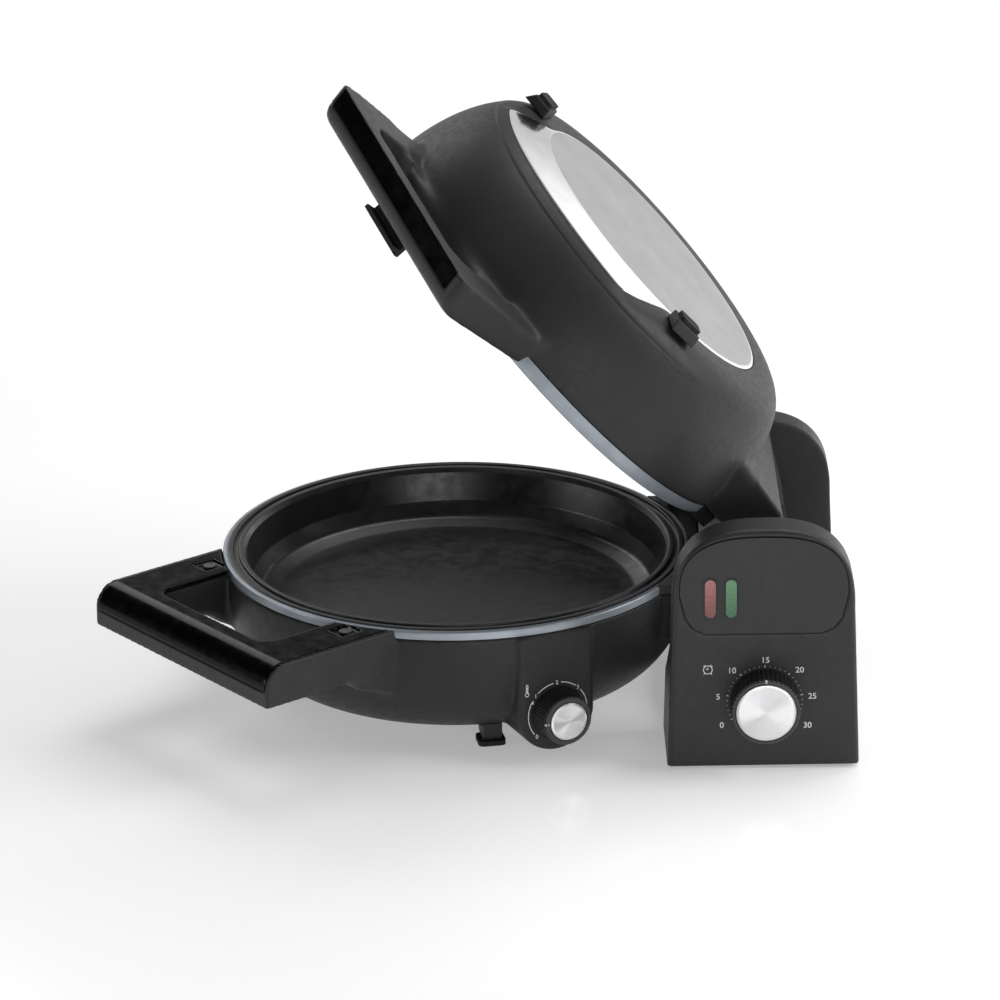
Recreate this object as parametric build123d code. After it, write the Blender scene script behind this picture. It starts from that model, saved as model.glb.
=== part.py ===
from build123d import *
import os
from math import cos, sin, radians, pi, sqrt

os.makedirs("parts", exist_ok=True)

# ---------------------------------------------------------------- driving dimensions (mm)
# Working frame: X to the right, Y away from the viewer, Z up from the parting plane,
# with the bowl's axis at X = Y = 0. Everything is moved to the final frame at the end.
H_PART = 84.5         # parting plane above the table
X_H, Z_H = 175.0, 0.5   # hinge axis, parallel to Y
OPEN = 48.5           # lid opening at rest, degrees
PHI = 217.8           # direction of the handles in plan, degrees from +X
SHIFT_X, SHIFT_Y = -9.257, 25.697   # bowl axis -> middle of the bounding box

WALL = 2.6            # moulded shell wall
R_SHELL = 139.4       # outer radius of the shells at the ring
Z_RING = 6.0          # height of the metal ring of the bowl
LID_RING = 9.4        # height of the metal ring of the lid
BOWL_FLAT, BOWL_DEPTH, BOWL_N = 75.0, 77.0, 2.6
LID_FLAT, LID_DEPTH, LID_N = 110.6, 73.9, 1.71
DISC_R = 109.0        # edge of the steel disc on the lid
DISC_FLAT = 89.0      # its flat middle

R_MOUTH = 125.0       # pan mouth radius
R_RIM = 135.5         # outer radius of the coated rim
R_FL = 138.0          # outer radius of the pan flange
PAN_T = 2.8
GRIP_T = 2.6          # skin of the gloss cover on the lower handle
BOWL_PAN_D, LID_PAN_D = 32.0, 24.0

GRIP_OUT = 203.0      # outer face of the grip from the bowl axis
GRIP_IN = 181.0       # inner edge of the grip
GRIP_W = 84.0         # half width of the handle
HOLE_W = 52.0         # half width of the finger gap
GRIP_D = 25.3         # depth of the lower handle
GRIP_ROUND = 14.5     # rounding of its outer edge
LID_GRIP_0, LID_GRIP_D = 2.4, 25.0   # underside and top of the upper handle
VALLEY_Z = 10.2       # floor of the recess behind the upper grip

X_P = 175.0           # middle of the posts in X
POST_OUT = 148.0      # front face of the front post, from the bowl axis
POST_IN = 126.0       # inner face of its thin upper part
POST_FOOT = 88.0      # inner side of its deep foot
POST_TOP = 62.5       # top of its arch
REAR_IN = 80.0        # inner face of the rear post
REAR_OUT = 101.0      # its outer face
REAR_FOOT = 75.0      # inner side of its foot
REAR_TOP = 45.0       # top of its arch
POST_BOT = -83.0      # underside of the posts
POST_HW = 52.4        # half width at the arch
POST_HW_BOT = 55.4    # half width at the bottom
BLOCK_W = 74.0        # half width of the hinge blocks
AXLE_R = 7.0
BARREL_R = 12.0
FIT = 0.05            # running fit, radial
THERM_A = -66.0       # thermostat direction in plan
THERM_Z = -56.0
THERM_R = 140.3       # flat face of the thermostat housing
TIMER_X, TIMER_Z = X_P + 0.6, -42.6
FOOT_A = 62.3         # feet at plus and minus this angle from the handle
SCREW_U, SCREW_S = 133.0, 66.0   # handle screws
PIN_U, PIN_Z = GRIP_IN - 6.0, 4.8   # latch pin in the upper handle

PARTS = {}


def put(name, shape):
    PARTS[name] = shape


def zrot(shape, angle):
    return Rot(0, 0, angle) * shape


def handle(shape):
    """Local X becomes the direction of the handle."""
    return Rot(0, 0, PHI) * shape


def open_lid(shape):
    return Pos(X_H, 0, Z_H) * Rot(0, OPEN, 0) * Pos(-X_H, 0, -Z_H) * shape


def box(x0, x1, y0, y1, z0, z1):
    return Pos((x0 + x1) / 2, (y0 + y1) / 2, (z0 + z1) / 2) * Box(abs(x1 - x0), abs(y1 - y0), abs(z1 - z0))


def xz_prism(pts, y0, y1):
    """A closed polygon in XZ, extruded from y0 to y1."""
    f = make_face(Polyline(*[(x, y0, z) for x, z in pts], close=True))
    return extrude(f, amount=y1 - y0, dir=(0, 1, 0))


def xy_prism(pts, z0, z1):
    f = make_face(Polyline(*[(x, y, z0) for x, y in pts], close=True))
    return extrude(f, amount=z1 - z0, dir=(0, 0, 1))


def ycyl(x, z, r, y0, y1):
    return Pos(x, (y0 + y1) / 2, z) * Rot(90, 0, 0) * Cylinder(r, abs(y1 - y0))


def xcyl(y, z, r, x0, x1):
    return Pos((x0 + x1) / 2, y, z) * Rot(0, 90, 0) * Cylinder(r, abs(x1 - x0))


def zcyl(x, y, r, z0, z1):
    return Pos(x, y, (z0 + z1) / 2) * Cylinder(r, abs(z1 - z0))


def dome(r0, z0, flat, depth, n, sign, top=0.0):
    """Solid of revolution under a superelliptic curve; `top` is where it closes near the parting plane."""
    k = 16
    pts = []
    for i in range(k + 1):
        t = i / k * pi / 2
        pts.append((flat + (r0 - flat) * cos(t) ** (2 / n), 0, sign * (z0 + (depth - z0) * sin(t) ** (2 / n))))
    pts[-1] = (flat, 0, sign * depth)
    curve = Spline(*pts, tangents=[(0, 0, sign), (-1, 0, 0)])
    a = (0, 0, sign * top)
    edges = [
        Line(a, (r0, 0, sign * top)),
        curve,
        Line(pts[-1], (0, 0, sign * depth)),
        Line((0, 0, sign * depth), a),
    ]
    if abs(top - z0) > 1e-6:
        edges.insert(1, Line((r0, 0, sign * top), pts[0]))
    return revolve(Face(Wire(edges)), Axis.Z, 360)


def turned(pts):
    """Solid of revolution about Z of an (r, z) polygon."""
    return revolve(make_face(Polyline(*[(r, 0, z) for r, z in pts], close=True)), Axis.Z, 360)


def rounded(x0, x1, y0, y1, z0, z1, r):
    b = box(x0, x1, y0, y1, z0, z1)
    return fillet(b.edges().filter_by(Axis.Z), r)


# ---------------------------------------------------------------- handles in plan (local X outwards)
def handle_plan(z0, z1, inset=0.0, corner=15.0):
    b = box(96, GRIP_OUT - inset, -GRIP_W + inset, GRIP_W - inset, z0, z1)
    es = [e for e in b.edges().filter_by(Axis.Z) if e.center().X > 150]
    return fillet(es, corner - inset)


def grip_section(inset, zb, s0, s1):
    """Handle cross-section with a quarter-round outer edge, run along the grip."""
    o, t, r = GRIP_OUT - inset, -0.5 - inset, GRIP_ROUND - inset
    k = 14
    pts = [(96, zb), (96, t)] + [(o - r + r * sin(i / k * pi / 2), t - r + r * cos(i / k * pi / 2)) for i in range(k + 1)] + [(o, zb)]
    return xz_prism(pts, s0, s1)


def lid_grip(inset=0.0):
    """Upper grip: its outer face leans out towards the top and is rounded below."""
    faces = []
    for z, u, w in ((LID_GRIP_0, 188.5, 82.5), (4.6, 192.8, 83.4), (8.0, 195.6, 83.8), (11.5, 197.0, 84.0), (LID_GRIP_D, 200.6, 84.0)):
        u1, w1 = u - inset, w - inset
        faces.append(Pos((96 + u1) / 2, 0, z) * RectangleRounded(u1 - 96, 2 * w1, 8.0))
    return loft(faces, ruled=True)


def finger_gap(z0, z1, grow=0.0):
    b = box(100, GRIP_IN + grow, -HOLE_W - grow, HOLE_W + grow, z0, z1)
    es = [e for e in b.edges().filter_by(Axis.Z) if e.center().X > 150]
    return fillet(es, 10.0)


FULL_DISC = zcyl(0, 0, R_SHELL, -BOWL_DEPTH - 40, LID_DEPTH + 40)


def shell_solid(sign):
    """One moulded half: dome, handle and hinge block, hollow inside."""
    if sign < 0:
        flat, depth, n, deep = BOWL_FLAT, BOWL_DEPTH, BOWL_N, GRIP_D
    else:
        flat, depth, n, deep = LID_FLAT, LID_DEPTH, LID_N, LID_GRIP_D
    ring = Z_RING if sign < 0 else LID_RING
    body = dome(R_SHELL, ring + 0.3, flat, depth, n, sign, ring + 0.3)
    inner = depth - WALL if sign < 0 else depth - WALL - 3.0
    cavity = dome(R_SHELL - WALL, ring + 0.3, flat - (0 if sign < 0 else 1.0), inner, n, sign, ring - 6.0)
    clear = zcyl(0, 0, R_FL + 0.6, 0, sign * (ring + 0.3))
    if sign < 0:
        grip = grip_section(GRIP_T + 0.1, -deep, -GRIP_W + 2.0, GRIP_W - 2.0)
        for s in (-1, 1):
            y0, y1 = sorted((s * (GRIP_W - 2.1), s * GRIP_W))
            grip += grip_section(0, -deep, y0, y1)
        grip += box(GRIP_IN, GRIP_OUT, -GRIP_W, GRIP_W, -deep, -GRIP_ROUND - 1.1)
        grip -= finger_gap(-deep - 1, 0)
        # hollow of the grip under the cover
        grip -= box(GRIP_IN + 2.4, GRIP_OUT - GRIP_T - 0.1, -GRIP_W + 6, GRIP_W - 6, -deep + 2.6, 0)
        for s in (-1, 1):
            y0, y1 = sorted((s * (HOLE_W + 2.6), s * (GRIP_W - 4.8)))
            grip -= box(146, GRIP_IN + 3, y0, y1, -deep + 2.6, 0)
        # soft web under the arms where they meet the dome
        web = xz_prism([(96, -deep + 1), (150, -deep + 1), (140, -deep - 3.5), (132, -deep - 10), (96, -deep - 22)], -GRIP_W + 3, GRIP_W - 3)
        web -= box(90, 200, -HOLE_W, HOLE_W, -90, 0)
        grip += web
    else:
        grip = lid_grip()
        # recess behind the grip bar, with sloping ends
        hole = loft([Pos(162.5, 0, VALLEY_Z) * RectangleRounded(45, 100, 9.0), Pos(163.2, 0, 27.0) * RectangleRounded(49.6, 113, 15.0)], ruled=True)
        grip -= hole
        # the top falls away towards the dome
        grip -= xz_prism([(80, 18.2), (141, 18.2), (141, 40), (80, 40)], -60, 60)
        grip -= xz_prism([(80, 20.5), (125, 21.6), (186, 25.2), (186, 40), (80, 40)], -100, 100)
        # room for the latch, open to the parting plane
        grip -= box(GRIP_IN - 14, GRIP_IN - 0.6, -21, 21, 0, PIN_Z + 3.4)
    grip = handle(grip)
    # hinge block on the side of the posts
    if sign < 0:
        blk = xz_prism([(96, -6.3), (150, -6.3), (152, -9), (152, -26), (144, -34), (96, -34)], -BLOCK_W, BLOCK_W)
        pocket = xz_prism([(100, -9), (149, -9), (149, -25), (143, -31), (100, -31)], -BLOCK_W + WALL, BLOCK_W - WALL)
    else:
        # it runs out as a sloping cover over the knuckles
        blk = xz_prism([(90, 9.7), (148, 9.7), (157, 18), (166, 21), (178, 17), (190, 10.5), (199, 3.5), (205, 8.5), (185, 21.5), (165, 32.5), (152, 39.6), (114, 44.6), (90, 46)], -BLOCK_W, BLOCK_W)
        # shallow panel in the sloping cover
        blk -= xz_prism([(206, 7), (204.0, 5.9), (185, 18.9), (162, 31.4), (152, 36.8), (152, 45), (206, 16)], -BLOCK_W + 5, BLOCK_W - 5) - box(196, 210, -80, 80, 0, 50) - box(100, 156, -80, 80, 0, 60)
        pocket = xz_prism([(94, 12.4), (147, 12.4), (154, 19), (154, 34), (152, 36.6), (114, 41.8), (94, 43)], -BLOCK_W + WALL, BLOCK_W - WALL)
    blk -= pocket
    body = body + blk + grip
    if sign < 0:
        hs = THERM_HOUSING_OUT
        body = body + hs
    body -= cavity
    body -= clear
    body -= tongue_box(sign, 0.4)
    if sign < 0:
        body -= THERM_HOUSING_IN
        body -= THERM_HOLE
    return body


def tongue_box(sign, grow=0.0):
    """The pan flange runs out to a square tongue over the hinge block."""
    z0, z1 = sorted((0, sign * ((Z_RING if sign < 0 else LID_RING) + (0.3 if grow else 0))))
    return box(100, 128 + grow, -BLOCK_W + 1.5 - grow, BLOCK_W - 1.5 + grow, z0, z1)


# ---------------------------------------------------------------- thermostat housing on the bowl
def therm(shape):
    return Rot(0, 0, THERM_A) * shape


def slot_prism(x0, x1, hw, zc, ztop):
    """A housing with upright sides and a round bottom, looking along X."""
    s = box(x0, x1, -hw, hw, zc, ztop)
    return s + xcyl(0, zc, hw, x0, x1)


_out = slot_prism(84, THERM_R, 24.0, THERM_Z, -6.5)
_out = fillet([e for e in _out.edges() if e.center().X > THERM_R - 0.01 and e.center().Z < -7], 3.0)
THERM_HOUSING_OUT = therm(_out)
THERM_HOUSING_IN = therm(slot_prism(84 + WALL, THERM_R - WALL, 24.0 - WALL, THERM_Z, -7.0))
THERM_HOLE = therm(xcyl(0, THERM_Z, 4.2, THERM_R - 6, THERM_R + 2))


# ---------------------------------------------------------------- pans
def pan(sign, depth):
    s = sign
    ring = Z_RING if sign < 0 else LID_RING
    pts = [
        (0, s * depth), (108, s * depth), (116, s * (depth - 4)), (121, s * (depth - 12)),
        (R_MOUTH - 1, s * 4), (R_MOUTH + 1, s * 0.4), (R_RIM - 6.2, s * 0.4), (R_RIM - 6.2, s * 2.0),
        (R_RIM - 3.4, s * 2.0), (R_RIM - 3.4, s * 0.4), (R_RIM, s * 0.4), (R_RIM + 1.2, s * 2.2),
        (R_FL, s * 2.6), (R_FL, s * 3.2), (R_FL + 0.5, s * 3.5), (R_FL + 0.5, s * ring), (R_MOUTH + 4, s * ring),
        (R_MOUTH + 2, s * (ring + 2)), (124.2, s * (depth - 11)), (118.5, s * (depth - 1.8)), (109, s * (depth + PAN_T)),
        (0, s * (depth + PAN_T)),
    ]
    p = turned(pts)
    z0, z1 = sorted((s * 0.4, s * ring))
    tongue = box(110, 128, -BLOCK_W + 1.5, BLOCK_W - 1.5, z0, z1) - zcyl(0, 0, R_FL - 0.5, -10, 10)
    p = p + tongue
    return p


def element(sign, depth, r, gap_dir):
    """Tubular heater bent in a ring, with its two cold ends turned away from the pan."""
    z = sign * (depth + PAN_T + 4.2)
    half = 8.0
    section = Pos(r, 0, z) * Rot(90, 0, 0) * Circle(4.0)
    ring = Rot(0, 0, half) * revolve(section, Axis.Z, 360 - 2 * half)
    for a in (-half - 1.5, half + 1.5):
        z0, z1 = sorted((z, z + sign * 15))
        ring += Rot(0, 0, a) * zcyl(r, 0, 3.3, z0, z1)
    return Rot(0, 0, gap_dir) * ring


def leg_holes(r, gap_dir, z0, z1):
    h = None
    for a in (-9.5, 9.5):
        c = Rot(0, 0, gap_dir + a) * zcyl(r, 0, 4.4, z0, z1)
        h = c if h is None else h + c
    return h


# ================================================================= bowl
put("bowl_shell", shell_solid(-1))
put("bowl_pan", pan(-1, BOWL_PAN_D))

cov = grip_section(0, -GRIP_ROUND - 1.0, -GRIP_W + 2.2, GRIP_W - 2.2) - grip_section(GRIP_T, -60, -GRIP_W, GRIP_W)
cov -= finger_gap(-30, 5)
cov -= zcyl(0, 0, R_SHELL + 0.3, -30, 5)
# two screw holes in the arms
for s in (-1, 1):
    cov -= zcyl(SCREW_U, s * SCREW_S, 2.1, -10, 5)
    # square recess round the screw head
    cov -= box(SCREW_U - 7, SCREW_U + 7, s * SCREW_S - 6.5, s * SCREW_S + 6.5, -1.9, 5)
put("bowl_handle_cover", handle(cov))

for s in (-1, 1):
    PARTS["bowl_shell"] = PARTS["bowl_shell"] + handle(zcyl(SCREW_U, s * SCREW_S, 5.0, -GRIP_D + 1, -GRIP_T - 0.6) - zcyl(SCREW_U, s * SCREW_S, 1.6, -GRIP_D + 3, 0))
for s in (-1, 1):
    PARTS["bowl_shell"] = PARTS["bowl_shell"] - handle(zcyl(SCREW_U, s * SCREW_S, 1.6, -18.2, 0))
# window in the inner wall of the grip, under the cover, for the nose of the latch
PARTS["bowl_shell"] = PARTS["bowl_shell"] - handle(box(GRIP_IN - 1, GRIP_IN + 5, -19.5, 19.5, -9.6, -3.0))

scr = None
for s in (-1, 1):
    one = handle(zcyl(SCREW_U, s * SCREW_S, 3.6, -1.9, -0.8) + zcyl(SCREW_U, s * SCREW_S, 1.6, -18, -1.8))
    scr = one if scr is None else Compound([scr, one])
put("bowl_handle_screws", scr)

put("bowl_heating_element", element(-1, BOWL_PAN_D, 84, 60))
sh = turned([(0, -50), (112, -50), (112, -44), (113.2, -44), (113.2, -51.2), (0, -51.2)])
sh -= leg_holes(84, 60, -60, -40)
sh -= therm(box(100, 120, -4, 4, -52, -43))
put("bowl_heat_shield", sh)
# three stand-offs between shield and pan
st = []
for a in (20, 140, 260):
    st.append(Rot(0, 0, a) * (zcyl(60, 0, 4, -50, -BOWL_PAN_D - PAN_T)))
put("bowl_shield_posts", Compound(st))
put("bowl_thermal_fuse", Pos(0, 0, -BOWL_PAN_D - PAN_T - 3) * Rot(0, 90, 0) * Cylinder(3.0, 22))

# feet under the bowl: short blades, thick at the sole
feet = []
for s in (-1, 1):
    f = Rot(0, 0, PHI + s * FOOT_A) * (
        xz_prism([(84, -66), (113, -60), (113, -76), (110, -81.5), (99, -81.5), (92, -76)], -5.5, 5.5))
    f = f - dome(R_SHELL, Z_RING + 0.3, BOWL_FLAT, BOWL_DEPTH + 0.02, BOWL_N, -1, Z_RING + 0.3) - THERM_HOUSING_OUT
    feet.append(sorted(f.solids(), key=lambda q: q.volume)[-1])
put("bowl_feet", Compound(feet))
pads = []
for s in (-1, 1):
    pads.append(Rot(0, 0, PHI + s * FOOT_A) * rounded(97, 112, -8, 8, -H_PART, -81.5, 3))
put("bowl_foot_pads", Compound(pads))

# thermostat in its housing
put("thermostat_unit", therm(
    box(114.5, 132, -13, 13, THERM_Z - 12, THERM_Z + 9) + xcyl(0, THERM_Z, 6, 132, THERM_R - WALL)
    - xcyl(0, THERM_Z, 3.0 + FIT, 118, THERM_R)))
put("thermostat_bulb", therm(
    xcyl(0, -37.4, 2.2, 44, 74) + box(73.5, 78, -1, 1, -38.4, -36.4) + box(76, 78, -1, 1, THERM_Z + 9, -36.4)
    + box(76, 123, -1, 1, THERM_Z + 9, THERM_Z + 11)))
put("thermostat_shaft", therm(xcyl(0, THERM_Z, 3.0, 119, THERM_R + 8)))
kb = xcyl(0, THERM_Z, 16.4, THERM_R + 0.6, THERM_R + 12.4)
kb = kb + xcyl(0, THERM_Z, 14.8, THERM_R + 12.4, THERM_R + 15.0)
kb -= xcyl(0, THERM_Z, 3.0, THERM_R - 1, THERM_R + 8)
kb -= xcyl(0, THERM_Z, 11.8, THERM_R + 13.8, THERM_R + 20)
put("thermostat_knob", therm(kb))
put("thermostat_knob_cap", therm(xcyl(0, THERM_Z, 11.8, THERM_R + 13.8, THERM_R + 15.8)))


# hinge bracket plates and knuckles
def knuckle(sign, y0, y1):
    c = ycyl(X_H, Z_H, BARREL_R, y0, y1)
    if sign < 0:
        arm = xz_prism([(145, -27.5), (145, -8), (152, -3.5), (165, 4.5), (X_H, Z_H + 10), (X_H + 5, Z_H - 10), (167, -19), (153, -27.5)], y0, y1)
    else:
        arm = xz_prism([(150, 17), (156, 9), (165.5, 0), (X_H, Z_H - 8), (X_H + 11, Z_H + 3), (180, 15.7), (159, 31.3), (150, 33)], y0, y1)
    return c + arm - ycyl(X_H, Z_H, AXLE_R + FIT, y0 - 1, y1 + 1)


BOWL_Y = [(-54.7, -18.3), (18.3, 54.7)]
LID_Y = [(-73.5, -55.3), (-17.7, 17.7), (55.3, 73.5)]
bb = None
for y0, y1 in BOWL_Y:
    kn = knuckle(-1, y0, y1)
    bb = kn if bb is None else bb + kn
bb = bb + xz_prism([(140.5, -27.5), (140.5, -10), (145.5, -10), (145.5, -27.5)], -60, 60)
lb = None
for y0, y1 in LID_Y:
    kn = knuckle(1, y0, y1)
    lb = kn if lb is None else lb + kn
lb = lb + xz_prism([(145.5, 33), (145.5, 17), (150.5, 17), (150.5, 33)], -70.8, 70.8)

# slots for the knuckles through the back walls of the hinge blocks
for y0, y1 in BOWL_Y:
    PARTS["bowl_shell"] = PARTS["bowl_shell"] - box(144.9, 160, y0 - 0.2, y1 + 0.2, -28.0, -2.0)
put("bowl_hinge_bracket", bb)

# ================================================================= lid, modelled shut, then opened
lid = {}
ls = shell_solid(1)
for y0, y1 in LID_Y:
    yy0, yy1 = max(y0 - 0.2, -BLOCK_W - 1 if y0 < -60 else y0 - 0.2), y1 + 0.2
    ls = ls - xz_prism([(149.9, 6), (149.9, 33.3), (160.2, 31.5), (181, 16.2), (188, 4), (188, -12), (149.9, -12)], yy0, yy1)
lid["lid_pan"] = pan(1, LID_PAN_D)
# steel disc: flat middle, sloping band, edge let into the dome
disc = turned([(0, 76.3), (DISC_FLAT - 0.4, 76.3), (DISC_R - 1.4, 71.0), (DISC_R, 71.0), (DISC_R, 72.0), (DISC_FLAT, 77.2), (0, 77.2)])
ls = ls - turned([(0, 76.3), (DISC_FLAT - 0.4, 76.3), (DISC_R - 1.4, 71.0), (DISC_R + 0.1, 71.0), (DISC_R + 0.1, 80), (0, 90)])
# the dome swells up round each foot and over the edge of the disc
limit = dome(R_SHELL, LID_RING + 0.3, 114.0, 77.0, LID_N, 1, LID_RING + 0.3)
for s in (-1, 1):
    at = Rot(0, 0, PHI + s * FOOT_A) * Pos(108, 0, 72.0)
    ls = ls + ((at * Cone(27, 17, 9)) & limit)
    disc = disc - at * Cone(27.15, 17.15, 9.2)
lid["lid_shell"] = ls
lid["lid_disc"] = disc
lid["lid_heating_element"] = element(1, LID_PAN_D, 84, 60)
sh = turned([(0, 42), (112, 42), (112, 36), (113.2, 36), (113.2, 43.2), (0, 43.2)])
sh -= leg_holes(84, 60, 30, 60)
lid["lid_heat_shield"] = sh
st = []
for a in (20, 140, 260):
    st.append(Rot(0, 0, a) * zcyl(60, 0, 4, LID_PAN_D + PAN_T, 42))
lid["lid_shield_posts"] = Compound(st)
lid["lid_thermal_fuse"] = Pos(0, 0, LID_PAN_D + PAN_T + 3) * Rot(0, 90, 0) * Cylinder(3.0, 22)
# gloss strip let into the outer face of the grip
strip = (lid_grip() & box(190, 210, -90, 74, 12.4, 24.1)) - lid_grip(1.6)
lid["lid_handle_strip"] = handle(strip)
room = (lid_grip(-0.2) & box(189.9, 210, -90, 74.1, 12.3, 24.2)) - lid_grip(1.7)
lid["lid_shell"] = lid["lid_shell"] - handle(room)
lid["lid_hinge_bracket"] = lb
LID_SOLE = H_PART + 2 * Z_H    # the lid stands on these feet when the closed halves are turned over
feet = []
lid_solid = dome(R_SHELL, LID_RING + 0.3, LID_FLAT, LID_DEPTH, LID_N, 1, LID_RING + 0.3)
for s in (-1, 1):
    f = Rot(0, 0, PHI + s * FOOT_A) * (xz_prism([(98.0, 70), (98, 72), (99.5, LID_SOLE - 2.5), (112, LID_SOLE - 2.5), (116, 76), (117.5, 70)], -9, 9))
    f = f - lid_solid - lid["lid_shell"] - box(-300, 300, -300, 300, -10, 66)
    feet.append(sorted(f.solids(), key=lambda q: q.volume)[-1])
lid["lid_feet"] = Compound(feet)
pads = []
for s in (-1, 1):
    pads.append(Rot(0, 0, PHI + s * FOOT_A) * rounded(100.5, 111.5, -7.5, 7.5, LID_SOLE - 2.5, LID_SOLE, 2.5))
lid["lid_foot_pads"] = Compound(pads)

# latch: plate that hangs from a pin across the grip, with a nose that catches the lower handle
lat = handle(
    box(PIN_U - 1.6, PIN_U + 1.6, -17.5, 17.5, -8.5, 5.5)
    + box(PIN_U - 1.6, PIN_U + 8.6, -17.5, 17.5, -6.4, -3.9)
    + Pos(PIN_U, 0, PIN_Z) * Rot(90, 0, 0) * Cylinder(2.6, 35)
    - Pos(PIN_U, 0, PIN_Z) * Rot(90, 0, 0) * Cylinder(1.5 + FIT, 60))
lid["latch_hook"] = lat
lid["latch_pin"] = handle(Pos(PIN_U, 0, PIN_Z) * Rot(90, 0, 0) * Cylinder(1.5, 46))
lid["lid_shell"] = lid["lid_shell"] - handle(Pos(PIN_U, 0, PIN_Z) * Rot(90, 0, 0) * Cylinder(1.5, 46))
for name, shape in lid.items():
    put(name, open_lid(shape))

# ================================================================= hinge unit
ax = ycyl(X_H, Z_H, AXLE_R, -138.0, 94.0) - ycyl(X_H, Z_H, 3.5, -140, 100)
put("hinge_axle", ax)
col = []
for s in (-1, 1):
    y0, y1 = sorted((s * 76.0, s * 79.6))
    col.append(ycyl(X_H, Z_H, 11.0, y0, y1) - ycyl(X_H, Z_H, AXLE_R, y0 - 1, y1 + 1))
put("axle_collars", Compound(col))


# ================================================================= stand
def arch_pts(hw, top, base, n=2.65, k=24):
    pts = []
    for i in range(k + 1):
        t = pi * i / k
        c, s = cos(t), sin(t)
        x = hw * (abs(c) ** (2 / n)) * (1 if c >= 0 else -1)
        pts.append((X_P + x, base + (top - base) * abs(s) ** (2 / n)))
    return pts


def post_face(grow, y, top, bottom=POST_BOT):
    """Arch over a slightly flaring foot, as a face in XZ."""
    pts = arch_pts(POST_HW + grow, top + grow, top - 49.0)
    hb = POST_HW_BOT + grow
    arc = Spline(*[(x, y, z) for x, z in pts], tangents=[(0, 0, 1), (0, 0, -1)])
    a, b = (X_P - hb, y, bottom), (X_P + hb, y, bottom)
    w = Wire([arc, Line((pts[-1][0], y, pts[-1][1]), a), Line(a, b), Line(b, (pts[0][0], y, pts[0][1]))])
    return Face(w)


def yz_prism(pts, x0, x1):
    f = make_face(Polyline(*[(x0, y, z) for y, z in pts], close=True))
    return extrude(f, amount=x1 - x0, dir=(1, 0, 0))


def post(out, thin, foot, top, zs0, zs1, zf):
    """One post seen from outside, its outer face at -Y: thin arch, shoulder, deep foot."""
    bevel = 2.0
    front = loft([post_face(-bevel, -out, top, POST_BOT), post_face(0, -out + bevel, top, POST_BOT)], ruled=True)
    solid = front + extrude(post_face(0, -out + bevel, top), amount=out - bevel - foot + 5, dir=(0, 1, 0))
    side = [(-out - 1, 80), (-out - 1, POST_BOT - 1), (-foot, POST_BOT - 1), (-foot, zf), (-foot - 4, zs1), (-thin, zs0), (-thin, 80)]
    solid = solid & yz_prism(side, X_P - 80, X_P + 80)
    inner = extrude(post_face(-WALL, -out, top, POST_BOT - 2), amount=out - foot + 5, dir=(0, 1, 0))
    side = [(-out + 3.0, 80), (-out + 3.0, POST_BOT - 3), (-foot - WALL, POST_BOT - 3), (-foot - WALL, zf - 1), (-foot - 4 - WALL, zs1 - WALL),
            (-thin - WALL, zs0 - WALL), (-thin - WALL, 80)]
    inner = inner & yz_prism(side, X_P - 80, X_P + 80)
    return solid - inner


def panel_pts(grow, dz):
    """Lamp panel: the arch with a shallow lobe below."""
    top = arch_pts(POST_HW - 4.2 + grow, POST_TOP - 4.2 + grow, 24.0)
    low = [(-46.6 - grow, 17), (-44.5 - grow, 9), (-40 - grow * 0.7, 2.8 - grow), (-33, -0.4 - grow),
           (33, -0.4 - grow), (40 + grow * 0.7, 2.8 - grow), (44.5 + grow, 9), (46.6 + grow, 17)]
    return [(x, z + dz) for x, z in top] + [(X_P + x, z + dz) for x, z in low]


def capsule(x, z, w, h, y0, y1):
    c = box(x - w / 2, x + w / 2, y0, y1, z - h / 2 + w / 2, z + h / 2 - w / 2)
    return c + ycyl(x, z - h / 2 + w / 2, w / 2, y0, y1) + ycyl(x, z + h / 2 - w / 2, w / 2, y0, y1)


LAMPS = (("red", X_P - 30.8), ("green", X_P - 18.8))
LAMP_Z = 21.4
FRONT = -POST_OUT
mir = Plane.XZ

front = post(POST_OUT, POST_IN, POST_FOOT, POST_TOP, -16.0, -42.0, -46.0)
front = front - xz_prism(panel_pts(0.25, 0), FRONT - 1, FRONT + 1.6)
front -= ycyl(X_H, Z_H, 10.0, FRONT + 8, -POST_IN + 5)
for _, x in LAMPS:
    front -= capsule(x, LAMP_Z, 8.4, 25.4, FRONT - 1, FRONT + 8)
front -= ycyl(TIMER_X, TIMER_Z, 5.0, FRONT - 1, FRONT + 6)
front_panel = xz_prism(panel_pts(0, 0), FRONT - 0.3, FRONT + 1.6)
for _, x in LAMPS:
    front_panel -= capsule(x, LAMP_Z, 8.4, 25.4, FRONT - 1, FRONT + 8)
put("front_post", front)
put("front_post_panel", front_panel)

DZ = REAR_TOP - POST_TOP
rear = post(REAR_OUT, REAR_IN, REAR_FOOT, REAR_TOP, -66.0, -70.0, -73.0)
rear = rear - xz_prism(panel_pts(0.25, DZ), -REAR_OUT - 1, -REAR_OUT + 1.6)
rear = mirror(rear, about=mir)
rear -= ycyl(X_H, Z_H, 10.0, REAR_IN - 5, REAR_OUT - 6)
rear -= ycyl(X_P + 28, -66, 6.0, REAR_OUT - 6, REAR_OUT + 2)
put("rear_post", rear)
put("rear_post_panel", mirror(xz_prism(panel_pts(0, DZ), -REAR_OUT - 0.3, -REAR_OUT + 1.6), about=mir))

# bottom plates of the posts
put("front_post_bottom", box(X_P - 52.2, X_P + 52.2, FRONT + 3.2, -POST_FOOT - WALL - 0.2, POST_BOT, POST_BOT + 2.5))
put("rear_post_bottom", box(X_P - 52.2, X_P + 52.2, REAR_FOOT + WALL + 0.2, REAR_OUT - 3.2, POST_BOT, POST_BOT + 2.5))

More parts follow.
